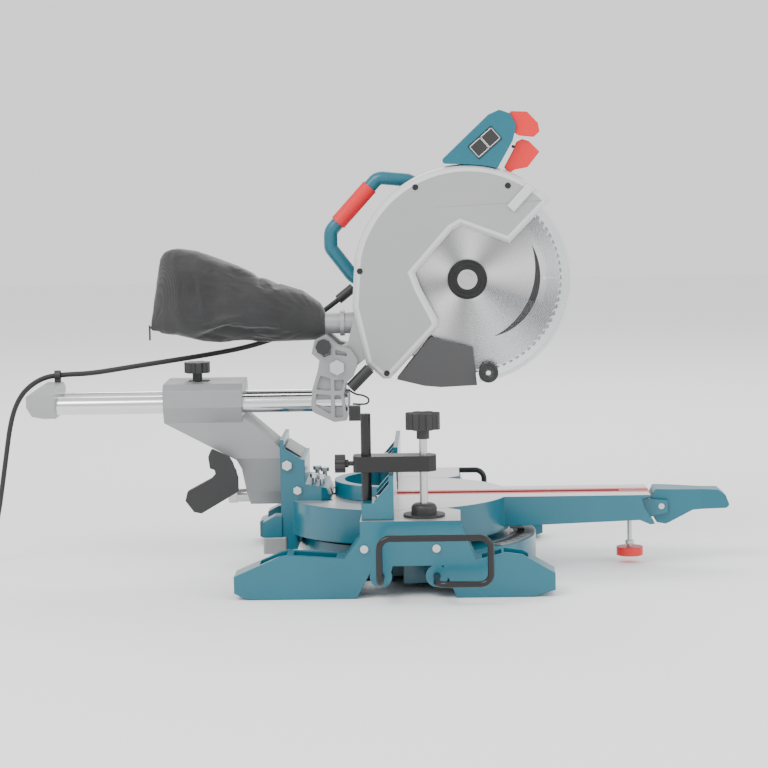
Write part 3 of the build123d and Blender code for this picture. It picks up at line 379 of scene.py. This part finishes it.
def addRing(mesh, centre, axis, radius, thick, sides=10, around=64):
    # a round section spun about the axis
    turn = Vector(axis).to_track_quat("Z", "Y").to_matrix().to_4x4()
    upright = Matrix.Translation((radius, 0, 0)) @ Matrix.Rotation(math.pi / 2, 4, "X")
    section = bmesh.ops.create_circle(mesh, segments=sides, radius=thick, matrix=upright)
    edges = list({edge for vert in section["verts"] for edge in vert.link_edges})
    before = set(mesh.verts) - set(section["verts"])
    bmesh.ops.spin(mesh, geom=edges + section["verts"], cent=(0, 0, 0), axis=(0, 0, 1), angle=math.tau,
                   steps=around, use_merge=True)
    made = [vert for vert in mesh.verts if vert not in before]
    bmesh.ops.transform(mesh, matrix=Matrix.Translation(centre) @ turn, verts=made)


cameraSettings = {"place": (0.0747, -3.2189, 0.5807), "lookAt": (-0.0157, 0.0, 0.2412), "lens": 115.1,
                  "roll": 1.0}


def makeCamera(settings):
    data = bpy.data.cameras.new("camera")
    data.lens = settings["lens"]
    camera = bpy.data.objects.new("camera", data)
    bpy.context.scene.collection.objects.link(camera)
    back = (Vector(settings["place"]) - Vector(settings["lookAt"])).normalized()
    right = Vector((0, 0, 1)).cross(back).normalized()
    up = back.cross(right)
    roll = math.radians(settings["roll"])
    rolledRight = right * math.cos(roll) - up * math.sin(roll)
    rolledUp = right * math.sin(roll) + up * math.cos(roll)
    turn = Matrix((rolledRight, rolledUp, back)).transposed().to_4x4()
    camera.matrix_world = Matrix.Translation(settings["place"]) @ turn
    bpy.context.scene.camera = camera


makeCamera(cameraSettings)
print("camera set")


powerCordSettings = {
    "radius": 0.0034,
    "length": 1.92,
    "coilCentre": (-0.635, 0.05045),
    "coilOuter": 0.046,
    "coilInner": 0.0282,
    "coilStart": 67.6,
    "coilTurns": 5.0625,
    "coilLayers": 2,
    "coilLow": 0.0038,
    "layerGap": 2.03,  # of the cord's radius, between the middles of two layers
    "climbShare": 0.12,  # of a layer, in which the cord steps up
    "pointsPerTurn": 16,
    "route": [
        (-0.076, 0.050, 0.350), (-0.110, 0.0535, 0.324), (-0.150, 0.056, 0.303), (-0.198, 0.056, 0.288),
        (-0.250, 0.053, 0.279), (-0.305, 0.047, 0.2715), (-0.358, 0.040, 0.2645), (-0.408, 0.032, 0.2576),
        (-0.446, 0.030, 0.2569), (-0.472, 0.030, 0.2535), (-0.496, 0.032, 0.238), (-0.511, 0.036, 0.216),
        (-0.520, 0.040, 0.188), (-0.527, 0.045, 0.150), (-0.534, 0.049, 0.110), (-0.541, 0.053, 0.072),
        (-0.549, 0.058, 0.041), (-0.560, 0.065, 0.019), (-0.576, 0.074, 0.007), (-0.598, 0.085, 0.0037),
    ],
    "toPlug": [(-0.645, 0.0964, 0.0096), (-0.656, 0.0964, 0.0076), (-0.664, 0.0964, 0.0070)],
}


def coilPoints(settings):
    # turns that wind in, step up a layer and wind out again
    x, y = settings["coilCentre"]
    count = round(settings["coilTurns"] * settings["pointsPerTurn"])
    rise = settings["radius"] * settings["layerGap"]
    points = []
    for n in range(count + 1):
        share = n / count * settings["coilLayers"]
        layer = min(int(share), settings["coilLayers"] - 1)
        inward = share - layer if layer % 2 == 0 else 1 - (share - layer)
        radius = settings["coilOuter"] + (settings["coilInner"] - settings["coilOuter"]) * inward
        past = (share - layer - (1 - settings["climbShare"])) / settings["climbShare"]
        climb = max(0.0, past) if layer < settings["coilLayers"] - 1 else 0.0
        angle = math.radians(settings["coilStart"]) + math.tau * n / settings["pointsPerTurn"]
        points.append((x + radius * math.cos(angle), y + radius * math.sin(angle),
                       settings["coilLow"] + rise * (layer + climb)))
    return points


def makeCord(name, points, radius):
    curve = bpy.data.curves.new(name, "CURVE")
    curve.dimensions = "3D"
    curve.bevel_depth = radius
    curve.bevel_resolution = 4
    curve.resolution_u = 6
    curve.use_fill_caps = True
    spline = curve.splines.new("NURBS")
    spline.points.add(len(points) - 1)
    for point, where in zip(spline.points, points):
        point.co = (*where, 1)
    spline.order_u = 3
    spline.use_endpoint_u = True
    curve.materials.append(finish["cordRubber"])
    piece = bpy.data.objects.new(name, curve)
    bpy.context.scene.collection.objects.link(piece)
    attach(piece, "slide_frame")
    return piece


cordPoints = powerCordSettings["route"] + coilPoints(powerCordSettings) + powerCordSettings["toPlug"]
powerCord = makeCord("powerCord", cordPoints, powerCordSettings["radius"])
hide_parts("power_cord", "cord_coil")

lightLeadSettings = {
    "radius": 0.0012,
    "length": 0.055,
    "route": [
        (-0.0608, -0.037, 0.2382), (-0.053, -0.037, 0.232), (-0.042, -0.037, 0.231), (-0.034, -0.037, 0.226),
        (-0.036, -0.037, 0.2195), (-0.046, -0.037, 0.2188), (-0.056, -0.037, 0.2196),
    ],
}
lightLead = makeCord("lightLead", lightLeadSettings["route"], lightLeadSettings["radius"])
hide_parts("light_lead")
print("cords laid")


coverSettings = {
    "radius": 0.150,
    "arcStart": 168.0,
    "arcStop": 43.0,
    "arcSteps": 40,
    "opening": [(0.151, 0.425), (0.088, 0.449), (0.077, 0.443), (0.028, 0.388), (0.035, 0.369),
                (0.057, 0.326)],
    "lower": [(0.057, 0.317), (-0.007, 0.250), (-0.016, 0.250), (-0.038, 0.270), (-0.055, 0.345)],
    "lip": 0.010,
    "edge": 0.0085,
    "wall": 0.0025,
}


def makeCover(settings):
    # the outer face is one outline: its long edges turn back round the blade,
    # and the opening's edges get a short lip
    mesh = bmesh.new()
    outline = []
    for n in range(settings["arcSteps"] + 1):
        share = n / settings["arcSteps"]
        turn = math.radians(settings["arcStart"] + (settings["arcStop"] - settings["arcStart"]) * share)
        outline.append((bladeCentre.x + settings["radius"] * math.cos(turn),
                        bladeCentre.z + settings["radius"] * math.sin(turn)))
    openStart = len(outline) - 1
    outline += settings["opening"]
    openStop = len(outline) - 1
    outline += settings["lower"]
    verts = [mesh.verts.new((x, coverLow.y, z)) for x, z in outline]
    mesh.faces.new(verts)
    rim = list(mesh.edges)
    inner = {verts[n] for n in range(openStart, openStop + 1)}
    lipEdges = [edge for edge in rim if edge.verts[0] in inner and edge.verts[1] in inner]
    wallEdges = [edge for edge in rim if edge not in lipEdges]
    for edges, depth in ((wallEdges, coverHigh.y - coverLow.y), (lipEdges, settings["lip"])):
        made = bmesh.ops.extrude_edge_only(mesh, edges=edges)
        moved = [item for item in made["geom"] if isinstance(item, bmesh.types.BMVert)]
        bmesh.ops.translate(mesh, vec=(0, depth, 0), verts=moved)
    bmesh.ops.recalc_face_normals(mesh, faces=mesh.faces)
    bmesh.ops.bevel(mesh, geom=rim, offset=settings["edge"], segments=3, profile=0.5, affect="EDGES",
                    material=-1)
    mesh.normal_update()
    flatY = coverLow.y + 0.0002
    for face in mesh.faces:
        nearRim = face.calc_center_median().y < coverLow.y + settings["lip"]
        # faces round the rim, off the flat face, take the lighter paint: a painted highlight
        face.material_index = 1 if nearRim and face.calc_center_median().y > flatY else 0
        if face.calc_center_median().y < flatY and face.normal.y > 0:
            face.normal_flip()
    piece = asObject("bladeCover", mesh, "head", ["coverPaint", "coverEdgeHighlight"])
    thick = piece.modifiers.new("wall", "SOLIDIFY")
    thick.thickness = settings["wall"]
    thick.offset = -1.0
    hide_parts("blade_case")
    return piece


def makeCoverRib():
    settings = {"low": (0.153, 0.470), "high": (0.180, 0.499), "width": 0.012, "proud": 0.0025}
    low, high = Vector(settings["low"]), Vector(settings["high"])
    span = high - low
    turn = Matrix.Rotation(-math.atan2(span.y, span.x), 4, "Y")
    middle = (low + high) / 2
    mesh = bmesh.new()
    addBlock(mesh, (middle.x, coverLow.y - settings["proud"] / 2, middle.y),
             (span.length, settings["proud"] * 2, settings["width"]), turn, 0.0012)
    # the rib takes the lighter paint, a painted highlight
    return asObject("coverRib", mesh, "head", ["coverEdgeHighlight"])


makeCover(coverSettings)
makeCoverRib()
print("cover made")


def makeTips():
    settings = {"count": 80, "size": (0.0022, 0.0030, 0.0045), "inset": 0.0024}
    mesh = bmesh.new()
    for n in range(settings["count"]):
        turn = Matrix.Rotation(-math.tau * n / settings["count"], 4, "Y")
        reach = turn @ Vector((bladeRadius - settings["inset"], 0, 0.0008))
        addBlock(mesh, bladeCentre + reach, settings["size"], turn)
    return asObject("bladeTips", mesh, "blade", ["carbide"])


def makeHubRings():
    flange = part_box("blade_flanges")[0].y
    settings = {"radii": (0.0235, 0.0185), "thick": 0.0009}
    mesh = bmesh.new()
    for radius in settings["radii"]:
        addRing(mesh, (bladeCentre.x, flange, bladeCentre.z), (0, -1, 0), radius, settings["thick"])
    return asObject("hubRings", mesh, "blade", ["blackSteel"])


def makeRollerCap():
    low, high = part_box("guard_roller")
    centre = (low + high) / 2
    mesh = bmesh.new()
    addRing(mesh, (centre.x, low.y, centre.z), (0, -1, 0), (high.x - low.x) * 0.40, 0.0008)
    return asObject("rollerRing", mesh, "guard_roller", ["blackPlastic"])


makeTips()
makeHubRings()
makeRollerCap()


def makeSwitchFrames():
    settings = {"tilt": 41.0, "half": 0.0088, "rail": 0.0014, "face": -0.0263}
    mesh = bmesh.new()
    for name in ("upper_switch", "lower_switch"):
        low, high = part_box(name)
        centre = (low + high) / 2
        turn = Matrix.Rotation(-math.radians(settings["tilt"]), 4, "Y")
        for sideways, upright in ((1, 0), (-1, 0), (0, 1), (0, -1)):
            shift = turn @ Vector((sideways * settings["half"], 0, upright * settings["half"]))
            along = (settings["half"] * 2 + settings["rail"], settings["rail"] * 1.4, settings["rail"])
            size = (along[2], along[1], along[0]) if sideways else along
            addBlock(mesh, (centre.x + shift.x, settings["face"], centre.z + shift.z), size, turn, 0.0003)
    return asObject("switchFrames", mesh, "head", ["steel"])


makeSwitchFrames()
print("blade and switch details made")


bagSettings = {
    "stations": [  # top x and z, bottom x and z, half width
        (-0.0955, 0.3375, -0.0955, 0.3095, 0.0150),
        (-0.1010, 0.3490, -0.1040, 0.3030, 0.0205),
        (-0.1230, 0.3670, -0.1220, 0.3020, 0.0265),
        (-0.1580, 0.3820, -0.1580, 0.3000, 0.0315),
        (-0.2100, 0.4010, -0.2080, 0.2970, 0.0360),
        (-0.2560, 0.4180, -0.2450, 0.3030, 0.0375),
        (-0.2840, 0.4220, -0.2750, 0.3090, 0.0310),
        (-0.2960, 0.4190, -0.2990, 0.3130, 0.0190),
        (-0.3040, 0.4110, -0.3190, 0.3190, 0.0050),
    ],
    "segments": 48,
    "voxel": 0.0035,
    "pressure": 3.0,
    "frames": 18,
    "cap": 0.005,  # the furthest that a point may move
    "quality": 5,
    "growth": -0.06,
    "stiffness": 0.4,
}


def loftBag(settings):
    mesh = bmesh.new()
    loops = []
    for topX, topZ, lowX, lowZ, half in settings["stations"]:
        upright = Vector((topX - lowX, 0, topZ - lowZ))
        made = bmesh.ops.create_circle(mesh, cap_ends=False, segments=settings["segments"], radius=1.0)
        across, up = Vector((0, half, 0)), upright / 2
        middle = Vector(((topX + lowX) / 2, 0, (topZ + lowZ) / 2))
        for vert in made["verts"]:
            vert.co = middle + across * vert.co.x + up * vert.co.y
        loops.append(list({edge for vert in made["verts"] for edge in vert.link_edges}))
    for first, second in zip(loops, loops[1:]):
        bmesh.ops.bridge_loops(mesh, edges=first + second)
    bmesh.ops.holes_fill(mesh, edges=loops[0] + loops[-1], sides=settings["segments"])
    bmesh.ops.recalc_face_normals(mesh, faces=mesh.faces)
    return mesh


def inflate(piece, settings):
    # the cloth fills with air, then each point is held near where it began
    remesh = piece.modifiers.new("remesh", "REMESH")
    remesh.mode = "VOXEL"
    remesh.voxel_size = settings["voxel"]
    keepShape(piece)
    start = [vert.co.copy() for vert in piece.data.vertices]
    cloth = piece.modifiers.new("cloth", "CLOTH")
    cloth.settings.quality = settings["quality"]
    cloth.settings.use_pressure = True
    cloth.settings.uniform_pressure_force = settings["pressure"]
    cloth.settings.shrink_min = settings["growth"]
    cloth.settings.bending_stiffness = settings["stiffness"]
    cloth.settings.effector_weights.gravity = 0
    for step in range(1, settings["frames"] + 1):
        bpy.context.scene.frame_set(step)
    keepShape(piece)
    bpy.context.scene.frame_set(1)
    for vert, began in zip(piece.data.vertices, start):
        shift = vert.co - began
        if shift.length > settings["cap"]:
            vert.co = began + shift.normalized() * settings["cap"]


def keepShape(piece):
    shown = piece.evaluated_get(bpy.context.evaluated_depsgraph_get())
    data = bpy.data.meshes.new_from_object(shown)
    piece.modifiers.clear()
    piece.data = data


def crease(piece):
    # soft folds that fan back from the neck, deepest on the flanks
    settings = {"neck": (-0.095, 0.323), "folds": 9.0, "depth": 0.0022, "waver": 26.0}
    for vert in piece.data.vertices:
        x, z = vert.co.x - settings["neck"][0], vert.co.z - settings["neck"][1]
        away = math.hypot(x, z)
        angle = math.atan2(z, -x)
        fade = min(1.0, away / 0.05) * max(0.0, 1 - away / 0.24)
        wave = math.sin(angle * settings["folds"] * 2 + math.sin(away * settings["waver"]) * 1.4)
        flank = min(1.0, abs(vert.co.y) / 0.015)
        vert.co.y += math.copysign(settings["depth"] * wave * fade * flank, vert.co.y)


def makeBag(settings):
    piece = asObject("dustBag", loftBag(settings), "head", ["meshCloth"])
    inflate(piece, settings)
    crease(piece)
    piece.data.materials.clear()
    piece.data.materials.append(finish["meshCloth"])
    piece.data.shade_smooth()
    smooth = piece.modifiers.new("smooth", "SUBSURF")
    smooth.levels = 1
    smooth.render_levels = 1
    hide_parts("dust_bag")
    return piece


def makeBagTrim():
    # piping down the rear seam, a zip pull at its foot and an elastic collar round the port
    stations = bagSettings["stations"]
    topX, topZ, lowX, lowZ = stations[-1][:4]
    settings = {
        "piping": 0.0022,
        "behind": 0.001,
        "pull": (0.0022, 0.005, 0.020),
        "pullPlace": (-0.3235, 0, 0.3135),
        "collarPlace": (stations[0][0] + 0.0015, 0, 0.3235),
        "collarRadius": 0.0152,
        "collarThick": 0.0022,
    }
    mesh = bmesh.new()
    low, high = Vector((lowX - settings["behind"], 0, lowZ)), Vector((topX - settings["behind"], 0, topZ))
    turn = (high - low).to_track_quat("Z", "Y").to_matrix().to_4x4()
    bmesh.ops.create_cone(mesh, cap_ends=True, segments=12, radius1=settings["piping"],
                          radius2=settings["piping"], depth=(high - low).length,
                          matrix=Matrix.Translation((low + high) / 2) @ turn)
    addRing(mesh, settings["collarPlace"], (1, 0, 0), settings["collarRadius"], settings["collarThick"])
    addBlock(mesh, settings["pullPlace"], settings["pull"], None, 0.0006)
    return asObject("bagTrim", mesh, "head", ["blackPlastic"])


makeBag(bagSettings)
makeBagTrim()
print("dust bag made")


def makeMiterTicks():
    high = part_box("miter_scale")[1]
    settings = {"inner": 0.158, "long": 0.016, "short": 0.009, "span": 40, "wide": 0.0008}
    mesh = bmesh.new()
    for degree in range(-settings["span"], settings["span"] + 1):
        length = settings["long"] if degree % 5 == 0 else settings["short"]
        turn = Matrix.Rotation(math.radians(degree), 4, "Z")
        centre = turn @ Vector((settings["inner"] + length / 2, 0, high.z + 0.0001))
        addBlock(mesh, centre, (length, settings["wide"], 0.0003), turn)
    return asObject("miterTicks", mesh, "base", ["inkAndVentShade"])


def makeRearBlock():
    # the plain grey block bolted under the rear of the turning table
    settings = {"from": (-0.175, 0.032, 0.026), "to": (-0.144, 0.060, 0.0488), "soft": 0.002}
    low, high = Vector(settings["from"]), Vector(settings["to"])
    middle = (low + high) / 2
    mesh = bmesh.new()
    for side in (1, -1):
        addBlock(mesh, (middle.x, middle.y * side, middle.z), high - low, None, settings["soft"])
    return asObject("rearBlock", mesh, "turntable", ["greyCasting"])


def makeLampLens():
    settings = {"face": (-0.0330, -0.040, 0.2660), "proud": 0.0008, "radius": 0.0058, "depth": 0.002}
    axis = Vector((1, 0, 1)).normalized()
    centre = Vector(settings["face"]) + axis * settings["proud"]
    mesh = bmesh.new()
    addDisc(mesh, centre, axis, settings["radius"], settings["depth"], 32, 0.9)
    return asObject("lampLens", mesh, "slide_frame", ["clearPlastic"])


def makeMotorVentShade():
    # dark strips half sunk in the housing: painted shade where the vent slots are
    low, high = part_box("motor_housing")
    centre = (low + high) / 2
    radius = (high.x - low.x) / 2
    settings = {"count": 24, "size": (0.0016, 0.034, 0.0042), "from": 0.016}
    mesh = bmesh.new()
    for n in range(settings["count"]):
        turn = Matrix.Rotation(-math.tau * n / settings["count"], 4, "Y")
        reach = turn @ Vector((radius + 0.0001, 0, 0))
        middle = low.y + settings["from"] + settings["size"][1] / 2
        addBlock(mesh, (centre.x + reach.x, middle, centre.z + reach.z), settings["size"], turn)
    return asObject("motorVentShade", mesh, "head", ["inkAndVentShade"])


makeMiterTicks()
makeRearBlock()
makeLampLens()
makeMotorVentShade()
print("scales and marks made")


def makeFloor():
    settings = {"half": 6.0, "drop": 0.0005}
    material, tree, shader = newMaterial("paleFloor", {"color": (0.95, 0.95, 0.95)})
    broad = noise(tree, 0.6)
    tree.links.new(blendColor(tree, broad, (0.93, 0.93, 0.93), (0.96, 0.96, 0.96)),
                   shader.inputs["Base Color"])
    shader.inputs["Roughness"].default_value = 0.85
    mesh = bmesh.new()
    bmesh.ops.create_grid(mesh, x_segments=1, y_segments=1, size=settings["half"])
    data = bpy.data.meshes.new("floor")
    mesh.to_mesh(data)
    mesh.free()
    data.materials.append(material)
    floor = bpy.data.objects.new("floor", data)
    floor.location.z = -settings["drop"]
    bpy.context.scene.collection.objects.link(floor)


def makeLight(name, where, target, size, power):
    data = bpy.data.lights.new(name, "AREA")
    data.shape = "RECTANGLE"
    data.size, data.size_y = size
    data.energy = power
    light = bpy.data.objects.new(name, data)
    light.location = where
    light.rotation_euler = (Vector(target) - Vector(where)).to_track_quat("-Z", "Y").to_euler()
    bpy.context.scene.collection.objects.link(light)


lightSettings = {
    "keyLight": ((-1.4, -1.8, 2.4), (0, 0, 0.25), (1.8, 1.2), 60),
    "fillLight": ((2.2, -1.6, 1.4), (0, 0, 0.25), (1.6, 1.6), 26),
    "backLight": ((0.3, 2.2, 2.2), (0, 0, 0.3), (2.4, 1.0), 40),
}


def makeWorld():
    world = bpy.data.worlds.new("studio")
    world.use_nodes = True
    back = world.node_tree.nodes["Background"]
    back.inputs["Color"].default_value = (1, 1, 1, 1)
    back.inputs["Strength"].default_value = 1.25
    bpy.context.scene.world = world


makeFloor()
for name, (where, target, size, power) in lightSettings.items():
    makeLight(name, where, target, size, power)
makeWorld()
print("floor and light set")
